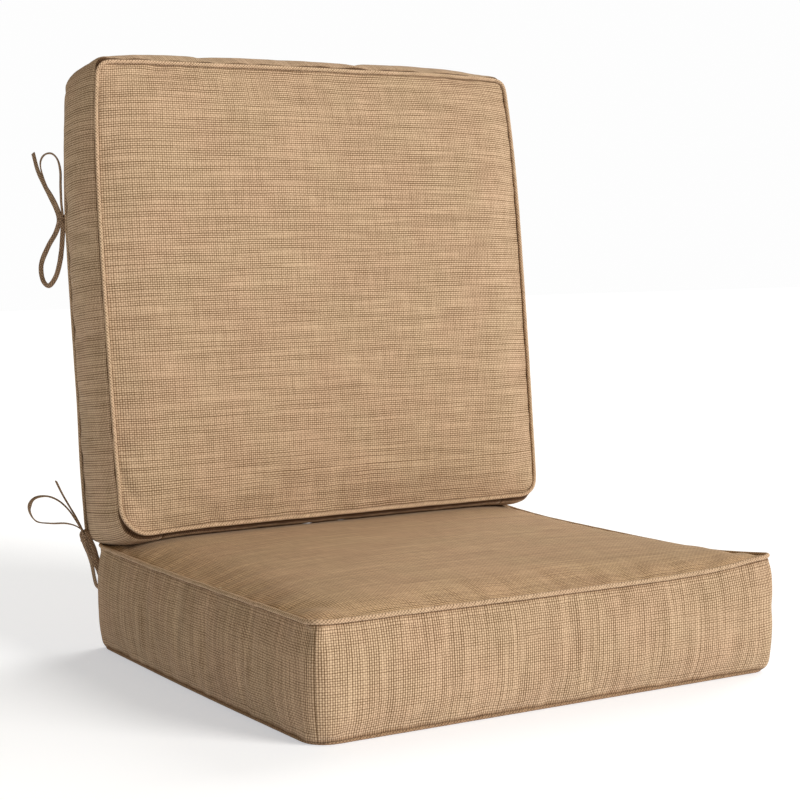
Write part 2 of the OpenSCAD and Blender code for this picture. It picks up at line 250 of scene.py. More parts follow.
class Nodes:
    """A short way to build a material's node tree."""

    def __init__(self, name):
        self.material = bpy.data.materials.new(name)
        self.material.use_nodes = True
        self.tree = self.material.node_tree
        self.tree.nodes.clear()
        self.shader = self.tree.nodes.new("ShaderNodeBsdfPrincipled")
        output = self.tree.nodes.new("ShaderNodeOutputMaterial")
        self.tree.links.new(self.shader.outputs[0], output.inputs["Surface"])

    def node(self, kind, inputs=(), output=0, **settings):
        made = self.tree.nodes.new("ShaderNode" + kind)
        for key, value in settings.items():
            setattr(made, key, value)
        for key, value in dict(inputs).items():
            if isinstance(value, bpy.types.NodeSocket):
                self.tree.links.new(value, made.inputs[key])
            else:
                made.inputs[key].default_value = value
        return made.outputs[output]

    def math(self, operation, a, b=0.0, c=0.0):
        return self.node("Math", {0: a, 1: b, 2: c}, operation=operation)

    def mix(self, share, a, b, blend="MIX"):
        made = self.tree.nodes.new("ShaderNodeMix")
        made.data_type = "RGBA"
        made.blend_type = blend
        for key, value in ((0, share), (6, a), (7, b)):
            if isinstance(value, bpy.types.NodeSocket):
                self.tree.links.new(value, made.inputs[key])
            else:
                made.inputs[key].default_value = (*value, 1) if isinstance(value, tuple) else value
        return made.outputs[2]

    def ramp(self, value, low, high, to_low=0.0, to_high=1.0):
        return self.node(
            "MapRange", {0: value, 1: low, 2: high, 3: to_low, 4: to_high},
            interpolation_type="SMOOTHSTEP",
        )

    def joined(self, x, y=0.0, z=0.0):
        return self.node("CombineXYZ", {0: x, 1: y, 2: z})

    def split(self, vector):
        made = self.tree.nodes.new("ShaderNodeSeparateXYZ")
        self.tree.links.new(vector, made.inputs[0])
        return made.outputs[0], made.outputs[1]

    def noise(self, vector, scale=1.0, detail=2.0):
        return self.node("TexNoise", {"Vector": vector, "Scale": scale, "Detail": detail})

    def set(self, **values):
        for key, value in values.items():
            socket = self.shader.inputs[key.replace("_", " ")]
            if isinstance(value, bpy.types.NodeSocket):
                self.tree.links.new(value, socket)
            else:
                socket.default_value = (*value, 1) if isinstance(value, tuple) else value

    def bump(self, height, distance, strength=1.0, under=None):
        inputs = {"Height": height, "Distance": distance, "Strength": strength}
        if under is not None:
            inputs["Normal"] = under
        return self.node("Bump", inputs)


THREAD = 2.8 * MM            # from one thread to the next


def cloth_material(name, light, dark, angle=0.0, depth=1.0, seam_painted_shade=0.6, seam_shade_reach=3.4 * MM):
    """Tweed: light threads over dark ones, with slubs and drifting colour, and shade painted into the colour near
    the seams, where the creases beside the welts lie in shadow.
    Its UVs are metres on the cloth, and angle turns the weave on it."""
    n = Nodes(name)
    uv = n.node("UVMap", uv_map="cloth")
    if angle:
        uv = n.node("VectorRotate", {"Vector": uv, "Angle": angle}, rotation_type="Z_AXIS")
    wobble = n.noise(uv, 18.0, 2.0)
    drift = n.math("MULTIPLY", n.math("SUBTRACT", wobble, 0.5), 2.0 * MM)
    u, v = n.split(uv)
    u = n.math("DIVIDE", n.math("ADD", u, drift), THREAD)
    v = n.math("DIVIDE", n.math("SUBTRACT", v, drift), THREAD)
    row, column = n.math("FLOOR", v), n.math("FLOOR", u)
    # how high each thread stands: it goes over one and under the next
    ridge_u = n.math("ABSOLUTE", n.math("SINE", n.math("MULTIPLY", u, math.pi)))
    ridge_v = n.math("ABSOLUTE", n.math("SINE", n.math("MULTIPLY", v, math.pi)))
    wave_v = n.math("SINE", n.math("MULTIPLY", n.math("ADD", v, column), math.pi))
    wave_u = n.math("SINE", n.math("MULTIPLY", n.math("ADD", u, row), math.pi))
    up_thread = n.math("MULTIPLY", ridge_u, n.math("MULTIPLY_ADD", wave_v, 0.2, 0.8))
    cross_thread = n.math("MULTIPLY", ridge_v, n.math("MULTIPLY_ADD", wave_u, -0.2, 0.8))
    height = n.math("MULTIPLY", n.math("ADD", up_thread, cross_thread), 0.62)
    # the dark gap beside each thread opens and closes along it, and threads differ in shade
    cross_gap = n.math("SUBTRACT", 1.0, n.math("POWER", ridge_v, 0.75))
    up_gap = n.math("SUBTRACT", 1.0, n.math("POWER", ridge_u, 0.7))
    cross_id, up_id = n.math("ROUND", v), n.math("ROUND", u)
    cross_open = n.noise(n.joined(n.math("MULTIPLY", u, 0.026), n.math("MULTIPLY", cross_id, 3.7)), 1.0, 3.0)
    up_open = n.noise(n.joined(n.math("MULTIPLY", up_id, 5.3), n.math("MULTIPLY", v, 0.08), 4.0), 1.0, 3.0)
    cross_dark = n.math("MULTIPLY", cross_gap, n.ramp(cross_open, 0.22, 0.78, 1.4 * depth, 0.35 * depth))
    up_dark = n.math("MULTIPLY", up_gap, n.ramp(up_open, 0.22, 0.78, 0.9 * depth, 0.35 * depth))
    slub = n.noise(n.joined(n.math("MULTIPLY", u, 0.035), n.math("MULTIPLY", row, 3.1), 9.0), 1.0, 2.0)
    shade = n.ramp(slub, 0.26, 0.74, -0.07 * depth, 0.06 * depth)
    over = n.math("MULTIPLY_ADD", wave_v, 0.11 * depth, 0.95)
    level = n.math("SUBTRACT", n.math("ADD", shade, over), n.math("ADD", cross_dark, up_dark))
    colour = n.mix(n.ramp(level, -0.1, 1.1), dark, light)
    # slow drift between a pinker and a more olive tone
    tone = n.ramp(n.noise(uv, 11.0, 3.0), 0.32, 0.68)
    colour = n.mix(tone, n.mix(1.0, colour, (1.01, 0.99, 0.985), "MULTIPLY"),
                   n.mix(1.0, colour, (0.985, 1.0, 0.975), "MULTIPLY"))
    worn = n.ramp(n.noise(uv, 21.0, 4.0), 0.3, 0.75, 0.97, 1.02)
    # painted shade: the colour is darkened over the last few millimetres to each seam, standing in for the shadow
    # in the crease there; it is multiplied with the random wear and made more saturated where darker
    gap = n.node("Attribute", output=2, attribute_name="seam_gap")
    seam = n.ramp(gap, 0.5 * seam_shade_reach, seam_shade_reach, seam_painted_shade, 1.0)
    both = n.math("MULTIPLY", worn, seam)
    tint = {0: both, 1: n.math("POWER", both, 1.2), 2: n.math("POWER", both, 1.4)}
    colour = n.mix(1.0, colour, n.node("CombineColor", tint), "MULTIPLY")
    fuzz = n.noise(uv, 2600.0, 3.0)
    under = n.bump(fuzz, 0.12 * MM, 0.5)
    n.set(Base_Color=colour, Roughness=n.ramp(height, 0.0, 1.0, 0.97, 0.84),
          Normal=n.bump(height, 0.42 * MM, 0.8, under))
    n.shader.inputs["Sheen Weight"].default_value = 0.05
    n.shader.inputs["Sheen Roughness"].default_value = 0.5
    n.shader.inputs["Specular IOR Level"].default_value = 0.12
    return n.material


def foam_material():
    n = Nodes("open_cell_foam")
    where = n.node("TexCoord", output=3)
    cells = n.node("TexVoronoi", {"Vector": where, "Scale": 700.0}, output=0)
    skin = n.noise(where, 30.0, 3.0)
    n.set(Base_Color=n.mix(n.math("MULTIPLY", cells, 0.7), (0.86, 0.78, 0.52), (0.62, 0.52, 0.30)),
          Roughness=n.ramp(skin, 0.3, 0.7, 0.85, 0.97), Normal=n.bump(cells, 0.6 * MM, 0.8))
    return n.material


def fibre_material():
    n = Nodes("polyester_fibre")
    where = n.node("TexCoord", output=3)
    hairs = n.noise(n.node("Mapping", {"Vector": where, "Scale": (1, 6, 3)}), 160.0, 6.0)
    n.set(Base_Color=n.mix(hairs, (0.74, 0.74, 0.72), (0.95, 0.95, 0.94)), Roughness=0.9,
          Normal=n.bump(hairs, 2.0 * MM, 0.7))
    n.shader.inputs["Sheen Weight"].default_value = 0.4
    return n.material


def tape_material():
    n = Nodes("zip_tape_weave")
    uv = n.node("UVMap", uv_map="cloth")
    u, v = n.split(uv)
    rib = n.math("SINE", n.math("MULTIPLY", v, math.tau / (0.9 * MM)))
    zigzag = n.math("SINE", n.math("ADD", n.math("MULTIPLY", u, math.tau / (1.1 * MM)), rib))
    n.set(Base_Color=n.mix(n.ramp(zigzag, -1.0, 1.0), (0.17, 0.105, 0.055), (0.33, 0.215, 0.125)),
          Roughness=0.85, Normal=n.bump(zigzag, 0.15 * MM, 0.7))
    return n.material


def coil_material():
    n = Nodes("nylon_coil")
    where = n.node("TexCoord", output=3)
    dull = n.noise(where, 220.0, 2.0)
    n.set(Base_Color=n.mix(dull, (0.20, 0.125, 0.07), (0.30, 0.195, 0.115)),
          Roughness=n.ramp(dull, 0.3, 0.7, 0.35, 0.5))
    return n.material


def thread_material():
    n = Nodes("sewing_thread")
    where = n.node("TexCoord", output=3)
    ply = n.noise(where, 900.0, 3.0)
    n.set(Base_Color=n.mix(ply, (0.34, 0.225, 0.13), (0.60, 0.42, 0.26)),
          Roughness=n.ramp(ply, 0.2, 0.8, 0.8, 0.55))
    return n.material


def metal_material():
    n = Nodes("bronze_enamel")
    where = n.node("TexCoord", output=3)
    rub = n.ramp(n.noise(where, 420.0, 5.0), 0.42, 0.72)
    n.set(Base_Color=n.mix(rub, (0.22, 0.165, 0.10), (0.42, 0.34, 0.22)), Metallic=0.85,
          Roughness=n.ramp(rub, 0.0, 1.0, 0.42, 0.25), Normal=n.bump(rub, 0.05 * MM, 0.4))
    return n.material


LIGHT_THREAD = (0.605, 0.435, 0.295)
DARK_THREAD = (0.13, 0.075, 0.035)
ACROSS = math.pi / 2
# the seat's panels take a darker, more saturated copy of the tweed: painted shade standing in for the duller light
# on the seat's top
seat_panel_cloth_painted_shade = cloth_material("tweed_seat_panel_painted_shade", (0.60, 0.408, 0.245), DARK_THREAD, 0.0, 0.9, 0.85)
back_panel_cloth = cloth_material("tweed_back_panel", LIGHT_THREAD, DARK_THREAD, 0.0, 1.0, 0.8)
# the boxings are painted darker beside their welts, the back's much more and further: painted shade for the
# shadowed creases there
seat_boxing_cloth = cloth_material("tweed_seat_boxing", LIGHT_THREAD, DARK_THREAD, ACROSS, 1.05, 0.6, 4 * MM)
back_boxing_cloth = cloth_material("tweed_back_boxing", LIGHT_THREAD, DARK_THREAD, ACROSS, 0.9, 0.2, 7 * MM)
welt_cloth = cloth_material("tweed_welt", LIGHT_THREAD, DARK_THREAD, math.pi / 4, 0.7)
# the ties are the same tweed painted lighter: painted light making up for the back cushion's shadow they hang in
tie_cloth_painted_light = cloth_material("tweed_tie_painted_light", (0.74, 0.56, 0.40), (0.22, 0.155, 0.11), 0.6, 1.2)
foam_look = foam_material()
fibre_look = fibre_material()
tape_look = tape_material()
coil_look = coil_material()
thread_look = thread_material()
metal_look = metal_material()

# ---------------- ties

# Each route starts at its seam, goes once through the knot, round its loop, back through the
# knot and out to its free end. Points are measured from the knot, in millimetres, on the left.
UPPER_KNOT = (-310, 366, 544)
UPPER_A = ((-1, -7, 2), (0, -4, 8), (0, -1, 20), (0, 0, 41), (1, 2, 61), (0, 9, 76), (-3, 22, 84),
           (-9, 34, 82), (-12, 39, 70), (-9, 31, 47), (-3, 15, 24), (0, 5, 5), (6, 4, -10),
           (15, 7, -28), (23, 12, -54), (29, 15, -88))
UPPER_B = ((-1, -7, -5), (0, -5, -11), (0, -2, -23), (-1, 0, -40), (-2, 6, -58), (-4, 16, -75),
           (-9, 28, -86), (-13, 39, -78), (-15, 37, -58), (-9, 26, -35), (-2, 14, -16), (0, 9, 2),
           (-5, 20, 25), (-10, 34, 46), (-13, 47, 64), (-14, 59, 86))
LOWER_KNOT = (-315, 298, 141)
LOWER_A = ((16, -12, -47), (12, -7, -39), (8, -6, -24), (3, -6, -9), (-1, -3, 4), (-8, 7, 13),
           (-17, 23, 16), (-31, 41, 15), (-46, 53, 18), (-53, 57, 33), (-49, 50, 47), (-37, 37, 51),
           (-26, 24, 46), (-16, 14, 34), (-7, 6, 16), (1, 4, 0), (7, 5, -15), (15, 9, -33),
           (24, 12, -59))
LOWER_B = ((16, -12, -37), (12, -8, -28), (8, -9, -15), (3, -9, -3), (1, -7, 6), (-2, -3, 10),
           (-4, 2, 3), (1, 6, -11), (7, 8, -25), (11, 8, -39), (14, 9, -55), (18, 11, -67),
           (25, 14, -72), (31, 17, -65), (30, 18, -49), (21, 13, -31), (7, 4, -14), (-1, -1, 1),
           (-8, -3, 16), (-13, 2, 29), (-16, 15, 41), (-20, 27, 55), (-23, 38, 69))
STRAP_W = 7.5 * MM
STRAP_T = 1.9 * MM
STRAP_FOLD = 0.86            # the straps' edges are folded in, so they are this much narrower
# How far each strap is rolled, in degrees, at shares of its length
UPPER_ROLLS = (((0, 80), (0.22, 75), (0.30, 45), (0.36, -10), (0.42, -45), (0.50, -45), (0.60, -80),
                (0.68, -120)),
               ((0, 40), (0.24, 45), (0.30, 60), (0.36, 130), (0.42, 140), (0.62, 140), (0.72, 100), (1, 95)))
LOWER_ROLLS = (((0, 110), (0.12, 150), (0.20, 35), (0.40, 25), (0.44, 50), (0.48, 75), (0.52, 25),
                (0.57, -15), (0.64, -30), (0.76, -35), (0.85, -70)),
               ((0, 20), (0.14, 20), (0.22, 60), (0.60, 60), (0.70, 75), (1, 72)))
KNOT_WIDE, KNOT_DEEP = 3.4 * MM, 6.5 * MM
KNOT_STRAP_W, KNOT_STRAP_T = 7 * MM, 2.6 * MM
KNOT_TURNS = ((1, 2.0, 1.4), (2, -2.0, -1.8))       # each turn's number, height and tilt


def strap_sides(line, knot, rolls, mirror):
    """Across directions for a strap that bends flat round its loop, rolled as its row says."""
    away = np.linalg.norm(line - knot, axis=1)
    share, angle = np.array(rolls, float).T
    roll = np.radians(np.interp(np.linspace(0, 1, len(line)), share, angle)) * mirror
    loop = line[away > 0.3 * away.max()]
    flat = np.linalg.svd(loop - loop.mean(0))[2][2] * (1, mirror, mirror)
    along = tangents(line)
    side = unit(flat - along[0] * (flat @ along[0]))
    sides = []
    for t, angle in zip(along, roll):
        side = side + 0.25 * flat * (1 if side @ flat >= 0 else -1)
        side = unit(side - t * (side @ t))
        sides.append(math.cos(angle) * side + math.sin(angle) * np.cross(t, side))
    return np.array(sides)


def make_knot(name, centre, axis, tilt):
    """A turn of strap pulled tight round the bundle, which is deeper than it is wide."""
    axis = unit(np.array(axis, float))
    first = unit(np.cross(axis, (0, 1, 0)))
    second = np.cross(axis, first)
    turns = np.linspace(0, math.tau, 32, endpoint=False)
    line = np.array([
        centre + KNOT_WIDE * math.cos(t) * first + KNOT_DEEP * math.sin(t) * second
        + tilt * MM * math.cos(t) * axis for t in turns
    ])
    wide = np.array([1 + 0.12 * math.sin(3 * t + tilt) for t in turns])
    sides = np.tile(axis, (len(turns), 1))
    return sweep(name, line, sides, strap_profile(KNOT_STRAP_W, KNOT_STRAP_T), True, tie_cloth_painted_light, wide)


def make_ties(level, knot, routes, rolls, body):
    """The two straps of each bow and its knot, on the left and mirrored on the right."""
    for side, mirror in (("left", 1), ("right", -1)):
        flip = np.array((mirror, 1, 1))
        centre = np.array(knot) * MM * flip
        name = f"{level}_{side}"
        turns = []
        for k, z, tilt in KNOT_TURNS:
            middle = centre + np.array((0, 1.0, z)) * MM * flip
            turns.append(make_knot(f"{name}_knot_{k}", middle, (0.3 * mirror, 0.1, 1), tilt))
        for knot_turn in turns:
            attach(knot_turn, body)
        for letter, route, rolled in zip("ab", routes, rolls):
            line = smooth_route((np.array(route) * MM) * flip + centre, 2.2 * MM)
            ripple = STRAP_FOLD * np.array([1 + 0.07 * noise.noise(Vector(p) * 90) for p in line])
            sides = strap_sides(line, centre, rolled, mirror)
            strap = sweep(f"{name}_tie_{letter}_strap", line, sides, strap_profile(STRAP_W, STRAP_T),
                          False, tie_cloth_painted_light, ripple)
            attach(strap, body)
            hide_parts(f"{name}_tie_{letter}")


make_ties("upper", UPPER_KNOT, (UPPER_A, UPPER_B), UPPER_ROLLS, "back_cushion")
make_ties("lower", LOWER_KNOT, (LOWER_A, LOWER_B), LOWER_ROLLS, "seat_cushion")

# ---------------- covers

SHOULDER = 7 * MM            # the crowned face's steep rise beside its seam
SOLE = 2.2 * MM              # how high the seat's bottom seam is above the floor
FOOT_SWELL = 3.5 * MM        # how far the back cushion's foot swells below its seams


def lines(half, marks, step):
    """Grid lines from -half to half: close together at the ends, through each mark."""
    ends = [0, 3 * MM, 6.5 * MM, 11 * MM, 17 * MM, 26 * MM, 36 * MM]
    fixed = sorted([e - half for e in ends] + [half - e for e in ends] + list(marks))
    made = [fixed[0]]
    for a, b in zip(fixed, fixed[1:]):
        if b - a < 1e-6:
            continue
        count = max(1, round((b - a) / step))
        made += [a + (b - a) * (k + 1) / count for k in range(count)]
    return np.array(made)


def levels(low, high, marks, step):
    ends = [0, 1.2 * MM, 3 * MM, 6 * MM, 10 * MM]
    fixed = sorted([low + e for e in ends] + [high - e for e in ends] + list(marks))
    made = [fixed[0]]
    for a, b in zip(fixed, fixed[1:]):
        count = max(1, round((b - a) / step))
        made += [a + (b - a) * (k + 1) / count for k in range(count)]
    return np.array(made)


class Skin:
    """A cushion's closed cover: a grid for each face and a grid round the boxing between them.

    kind is 0 for the flat face, 1 for the crowned face and 2 for the boxing. Flat coordinates
    (plan) keep where each point is on its piece of cloth."""

    def __init__(self, cushion, x_marks=(), y_marks=(), z_marks=(), step=10.5 * MM):
        self.c = cushion
        xs = lines(cushion.half_w, x_marks, step)
        ys = lines(cushion.half_d, y_marks, step)
        zs = levels(cushion.low_seam, cushion.high_seam, z_marks, step)
        nx, ny, nz = len(xs), len(ys), len(zs)
        points, ids = [], {}
        for kind in (0, 1):
            for i in range(nx):
                for j in range(ny):
                    ids[kind, i, j] = len(points)
                    points.append((xs[i], ys[j], zs[0] if kind == 0 else zs[-1]))
        rim = ([(i, 0) for i in range(nx - 1)] + [(nx - 1, j) for j in range(ny - 1)]
               + [(i, ny - 1) for i in range(nx - 1, 0, -1)] + [(0, j) for j in range(ny - 1, 0, -1)])
        rows = [[ids[0, i, j] for i, j in rim]]
        for z in zs[1:-1]:
            rows.append(list(range(len(points), len(points) + len(rim))))
            points += [(xs[i], ys[j], z) for i, j in rim]
        rows.append([ids[1, i, j] for i, j in rim])
        self.base = np.array(points)
        self.kind_of_point = np.full(len(points), 2)
        self.kind_of_point[: 2 * nx * ny] = np.repeat((0, 1), nx * ny)
        self.on_rim = np.zeros(len(points), bool)
        for row in (rows[0], rows[-1]):
            self.on_rim[row] = True
        faces, uvs, kinds = [], [], []
        for kind in (0, 1):
            for i in range(nx - 1):
                for j in range(ny - 1):
                    cell = [(i, j), (i + 1, j), (i + 1, j + 1), (i, j + 1)]
                    if kind == 0:
                        cell.reverse()
                    faces.append([ids[kind, a, b] for a, b in cell])
                    uvs += [(xs[a], ys[b]) for a, b in cell]
                    kinds.append(kind)
        walk = np.array([(xs[i], ys[j]) for i, j in rim + rim[:1]])
        around = np.concatenate([[0], np.cumsum(np.linalg.norm(np.diff(walk, axis=0), axis=1))])
        for k in range(nz - 1):
            for m in range(len(rim)):
                n = (m + 1) % len(rim)
                faces.append([rows[k][m], rows[k][n], rows[k + 1][n], rows[k + 1][m]])
                uvs += [(around[m], zs[k]), (around[m + 1], zs[k]),
                        (around[m + 1], zs[k + 1]), (around[m], zs[k + 1])]
                kinds.append(2)
        self.faces, self.uvs, self.kinds = faces, uvs, kinds
        self.seams = [
            (row[m], row[(m + 1) % len(row)]) for row in (rows[0], rows[-1]) for m in range(len(row))
        ]


def share_up(points, c):
    """0 at the flat face's seam, 1 at the crowned face's seam."""
    return np.clip((points[:, 2] - c.low_seam) / (c.high_seam - c.low_seam), 0, 1)


def rounded(points, c, low_radii, high_radii):
    """Bends a square-cornered plan into one with a radius at each corner, which changes from the
    flat face to the crowned one. Radii are rows for left and right, each front then rear. Also
    gives the outward direction."""
    side = (points[:, 0] >= 0).astype(int)
    end = (points[:, 1] >= 0).astype(int)
    low, high = np.array(low_radii)[side, end] * MM, np.array(high_radii)[side, end] * MM
    r = low + (high - low) * share_up(points, c) ** 0.7
    x, y = np.abs(points[:, 0]), np.abs(points[:, 1])
    dx = np.clip((x - c.half_w + r) / r, 0, 1)
    dy = np.clip((y - c.half_d + r) / r, 0, 1)
    nx, ny = dx * np.sqrt(1 - dy**2 / 2), dy * np.sqrt(1 - dx**2 / 2)
    x = np.where(dx > 0, c.half_w - r + r * nx, x)
    y = np.where(dy > 0, c.half_d - r + r * ny, y)
    moved = points.copy()
    moved[:, 0], moved[:, 1] = (2 * side - 1) * x, (2 * end - 1) * y
    out = unit(np.stack([(2 * side - 1) * nx, (2 * end - 1) * ny, np.zeros(len(x))], axis=1))
    return moved, out


def near_corner(points, c, sx, sy, reach):
    """1 at one corner of the plan, falling to 0 over a distance."""
    gap = np.hypot(points[:, 0] - sx * c.half_w, points[:, 1] - sy * c.half_d)
    return np.exp(-((gap / reach) ** 2))


def bulge(share):
    """A full, soft profile between two seams: share runs from 0 to 1."""
    edge = np.clip(np.minimum(share, 1 - share) * 2, 0, 1)
    return 1 - (1 - edge) ** 2.6


def edge_gap(points, c):
    """How far each point of the plan is from its edge."""
    return np.maximum(np.minimum(c.half_w - np.abs(points[:, 0]), c.half_d - np.abs(points[:, 1])), 0)


def draw_in(p, skin, reach, low, high):
    """Rolls the boxing's edges in to its seams. low and high say how far in millimetres, for the
    flat and the crowned face: left, right, near end and far end."""
    c, x, y = skin.c, skin.base[:, 0], skin.base[:, 1]
    up = skin.base[:, 2] - c.low_seam
    down = c.high_seam - c.low_seam - up
    for height, (left, right, near, far) in ((up, low), (down, high)):
        weight = (1 - np.sqrt(1 - np.clip(1 - height / reach, 0, 1) ** 2)) * MM
        p[:, 0] -= weight * np.where(x < 0, left, right) * x / c.half_w
        p[:, 1] -= weight * np.where(y < 0, near, far) * y / c.half_d


def seat_form(skin):
    """The seat pad at rest under the back cushion."""
    c = skin.c
    top, ring, flat = skin.kind_of_point == 1, skin.kind_of_point == 2, skin.kind_of_point == 0
    p, out = rounded(skin.base, c, ((26, 14), (14, 14)), ((9, 9), (11, 9)))
    sx, sy = p[:, 0] / c.half_w, p[:, 1] / c.half_d
    share, gap = share_up(p, c), edge_gap(p, c)
    rise = (1 - np.abs(sx) ** 3) * (1 - np.abs(sy) ** 3)
    edge = 1 - np.exp(-gap / (14 * MM))
    p[:, 2] += np.where(top, (c.crown - SHOULDER) * rise + SHOULDER * edge, 0)
    # the seat's weight presses the bottom seam down, and the underside lies flat
    p[:, 2] -= (c.low_seam - SOLE) * (1 - share) ** 4
    p[:, 2] -= np.where(flat, SOLE * np.clip(gap / (12 * MM), 0, 1) ** 0.6, 0)
    # the boxing swells between its seams, except where the zip keeps it flat
    zipped = np.clip((sy - 0.9) * 20, 0, 1) * np.clip((c.half_w - np.abs(p[:, 0])) / (60 * MM), 0, 1)
    p += out * np.where(ring, 4.5 * MM * bulge(share) * (1 - zipped), 0)[:, None]
    # the top seam dips between its corners, and the corners differ
    high = share**1.5
    p[:, 2] -= high * 4.5 * MM * (1 - np.minimum(np.abs(sx), np.abs(sy)) ** 3)
    for cx, cy, dz in ((-1, -1, -3), (1, -1, 6), (-1, 1, 0), (1, 1, 2)):
        p[:, 2] += high * dz * MM * near_corner(p, c, cx, cy, 70 * MM)
    for cx, cy, dx in ((1, -1, 7), (1, 1, 3)):
        p[:, 0] += dx * MM * near_corner(p, c, cx, cy, 90 * MM)
    draw_in(p, skin, 13 * MM, (2.5, 5, 6, 5), (0, 1, 1, 0))
    p[:, 0] -= 4 * MM * (1 - share) * near_corner(p, c, -1, 0, 260 * MM)
    # the back cushion's foot presses the top flat
    front, rear = (back.place @ Vector((0, -back.half_d, z)) for z in (back.high_seam, back.low_seam))
    foot = front.z + (p[:, 1] - front.y) * (rear.z - front.z) / (rear.y - front.y)
    under = np.clip((p[:, 1] - front.y + 8 * MM) / (20 * MM), 0, 1)
    press = np.maximum(p[:, 2] - (foot - FOOT_SWELL - 1 * MM), 0)
    p[:, 2] -= np.where(top, press * under**2 * (3 - 2 * under), 0)
    return p


def back_form(skin):
    """The back cushion: drawn in at its upper corners, with soft lower corners."""
    c = skin.c
    top, ring, flat = skin.kind_of_point == 1, skin.kind_of_point == 2, skin.kind_of_point == 0
    p, out = rounded(skin.base, c, ((9, 24), (12, 11)), ((34, 12), (22, 10)))
    sx, sy = p[:, 0] / c.half_w, p[:, 1] / c.half_d
    share, gap = share_up(p, c), edge_gap(p, c)
    rise = (1 - np.abs(sx) ** 3) * (1 - np.abs(sy) ** 3)
    edge = 1 - np.exp(-gap / (12 * MM))
    p[:, 2] += np.where(top, (c.crown - SHOULDER) * rise + SHOULDER * edge, 0)
    # the rear is crowned above the zip and flat along it
    above = np.clip((p[:, 1] - BACK_ZIP_Y) / (c.half_d - BACK_ZIP_Y), 0, 1)
    rear = (1 - np.abs(sx) ** 4) * bulge(above) * 7 * MM
    p[:, 2] -= np.where(flat, c.low_seam * np.clip(gap / (12 * MM), 0, 1) ** 0.6 + rear, 0)
    foot = np.clip((-sy - 0.9) * 20, 0, 1) * np.clip((c.half_w - np.abs(p[:, 0])) / (60 * MM), 0, 1)
    swell = bulge(share) * (8 * MM - (8 * MM - FOOT_SWELL) * foot)
    swell *= 1 - 0.8 * (near_corner(p, c, -1, 1, 60 * MM) + near_corner(p, c, 1, 1, 60 * MM))
    p += out * np.where(ring, swell, 0)[:, None]
    # the outline bows out at the sides and the top, and its upper corners are drawn in
    p[:, 0] += sx * MM * (3 * (1 - sy**2) - 7 * np.clip((sy - 0.35) / 0.65, 0, 1) ** 2)
    p[:, 0] += MM * np.where(sx < 0, 3, 1.5) * sx
    crest = 8 - 1.5 * sx - 5 * sx**2
    crest += 2 * np.clip((sx - 0.25) / 0.35, 0, 1) + 2 * np.clip((-sx - 0.5) / 0.3, 0, 1)
    p[:, 1] += MM * np.clip(sy, 0, 1) * crest
    # the rear seam is drawn in more towards the top
    slack = 4 + 2.5 * np.clip((sy - 0.4) / 0.4, 0, 1) - 2.5 * np.clip((-sy - 0.4) / 0.3, 0, 1)
    draw_in(p, skin, 14 * MM, (slack, slack, 3, 9), (0, 0, 9, 8))
    p[:, 1] -= 4 * MM * near_corner(p, c, -1, -1, 60 * MM)
    return p


PRESSURE = 4.0
SWELL_CAP = 6 * MM
LAST_FRAME = 20


def simulate(obj, pins):
    """Swells the cover with Blender's cloth, and keeps every point within a cap of where it was."""
    before = points_of(obj)
    group = obj.vertex_groups.new(name="hold")
    for weight in np.unique(pins):
        group.add([int(i) for i in np.flatnonzero(pins == weight)], float(weight), "REPLACE")
    cloth = obj.modifiers.new("swell", "CLOTH")
    s = cloth.settings
    s.quality = 5
    s.mass = 0.25
    s.tension_stiffness = s.compression_stiffness = 12
    s.shear_stiffness = 4
    s.bending_stiffness = 0.4
    s.tension_damping = s.compression_damping = 8
    s.air_damping = 2
    s.shrink_min = -0.012
    s.use_pressure = True
    s.uniform_pressure_force = PRESSURE
    s.vertex_group_mass = "hold"
    s.pin_stiffness = 1.0
    s.effector_weights.gravity = 0
    cloth.collision_settings.use_collision = False
    scene = bpy.context.scene
    scene.frame_start, scene.frame_end = 1, LAST_FRAME
    cloth.point_cache.frame_start, cloth.point_cache.frame_end = 1, LAST_FRAME
    for f in range(1, LAST_FRAME + 1):
        scene.frame_set(f)
    shown = obj.evaluated_get(bpy.context.evaluated_depsgraph_get())
    after = points_of(shown)
    obj.modifiers.clear()
    scene.frame_set(1)
    move = after - before
    far = np.linalg.norm(move, axis=1, keepdims=True)
    set_points(obj, before + move / np.maximum(far, 1e-9) * SWELL_CAP * np.tanh(far / SWELL_CAP))
    obj.vertex_groups.clear()


def pucker(points, normals, gap, size, seed):
    """Small gathers that run away from a seam and fade."""
    move = np.zeros(len(points))
    for i in np.flatnonzero(gap < 60 * MM):
        p = Vector(points[i])
        broad = noise.noise(p * 26 + Vector((seed, 0, 0)))
        fine = noise.noise(p * 75 + Vector((0, seed, 0)))
        fade = math.exp(-gap[i] / (17 * MM))
        start = min(1.0, gap[i] / (4 * MM))
        move[i] = size * start * fade * (0.9 * broad + 0.8 * fine)
    return points + normals * move[:, None]


